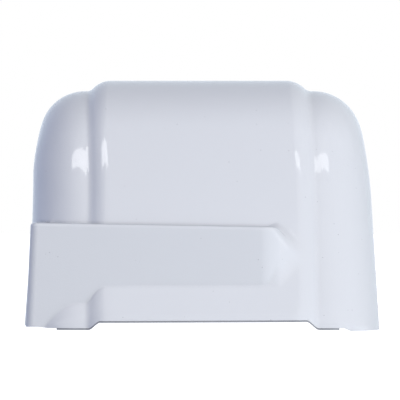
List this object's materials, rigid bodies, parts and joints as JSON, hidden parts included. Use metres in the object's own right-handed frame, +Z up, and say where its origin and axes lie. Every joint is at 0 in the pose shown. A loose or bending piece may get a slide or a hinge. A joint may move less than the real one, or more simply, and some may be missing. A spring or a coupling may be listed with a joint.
{
  "type": "fence post cap",
  "caption": "Vacuum-formed white cap with a raised centre band and a side box bulge, held over a square post by an inner steel bridge and side screws under flip lids.",
  "frame": {"origin": "centre of the post's head, on the underside of the head pad", "axes": "+X across the front to the right, -Y out of the front, +Z up along the post"},
  "size_m": [0.3555, 0.414, 0.251],
  "materials": {
    "gloss_white_abs": "gloss, slight haircell",
    "cover_white_plastic": "satin",
    "black_rubber": "matt",
    "pad_rubber": "matt",
    "galvanised_steel": "galvanised",
    "zinc_steel": "zinc plated",
    "natural_nylon": "natural"
  },
  "bodies": {
    "cap": {"cap_shell": "gloss_white_abs", "edge_seal_front": "black_rubber", "edge_seal_rear": "black_rubber", "mount_bridge": "galvanised_steel", "head_pad": "pad_rubber", "post_screw_left_front": "zinc_steel", "post_washer_left_front": "zinc_steel", "shell_screw_left_front": "zinc_steel", "leg_nut_left_front": "zinc_steel", "screw_cup_left_front": "cover_white_plastic", "wall_spacer_left_front": "natural_nylon", "post_screw_left_rear": "zinc_steel", "post_washer_left_rear": "zinc_steel", "shell_screw_left_rear": "zinc_steel", "leg_nut_left_rear": "zinc_steel", "screw_cup_left_rear": "cover_white_plastic", "wall_spacer_left_rear": "natural_nylon", "post_screw_right_front": "zinc_steel", "post_washer_right_front": "zinc_steel", "shell_screw_right_front": "zinc_steel", "leg_nut_right_front": "zinc_steel", "screw_cup_right_front": "cover_white_plastic", "wall_spacer_right_front": "natural_nylon", "post_screw_right_rear": "zinc_steel", "post_washer_right_rear": "zinc_steel", "shell_screw_right_rear": "zinc_steel", "leg_nut_right_rear": "zinc_steel", "screw_cup_right_rear": "cover_white_plastic", "wall_spacer_right_rear": "natural_nylon"},
    "lid_left_front": {"screw_lid_left_front": "cover_white_plastic"},
    "lid_left_rear": {"screw_lid_left_rear": "cover_white_plastic"},
    "lid_right_front": {"screw_lid_right_front": "cover_white_plastic"},
    "lid_right_rear": {"screw_lid_right_rear": "cover_white_plastic"}
  },
  "joints": [
    {"name": "lid_hinge_left_front", "type": "hinge", "parent": "cap", "child": "lid_left_front", "pos_m": [-0.17435, -0.038, -0.08994], "axis": [0, 1, 0], "range_deg": [0, 120]},
    {"name": "lid_hinge_left_rear", "type": "hinge", "parent": "cap", "child": "lid_left_rear", "pos_m": [-0.17435, 0.038, -0.08994], "axis": [0, 1, 0], "range_deg": [0, 120]},
    {"name": "lid_hinge_right_front", "type": "hinge", "parent": "cap", "child": "lid_right_front", "pos_m": [0.1766, -0.038, -0.08996], "axis": [0, -1, 0], "range_deg": [0, 120]},
    {"name": "lid_hinge_right_rear", "type": "hinge", "parent": "cap", "child": "lid_right_rear", "pos_m": [0.1766, 0.038, -0.08996], "axis": [0, -1, 0], "range_deg": [0, 120]}
  ]
}
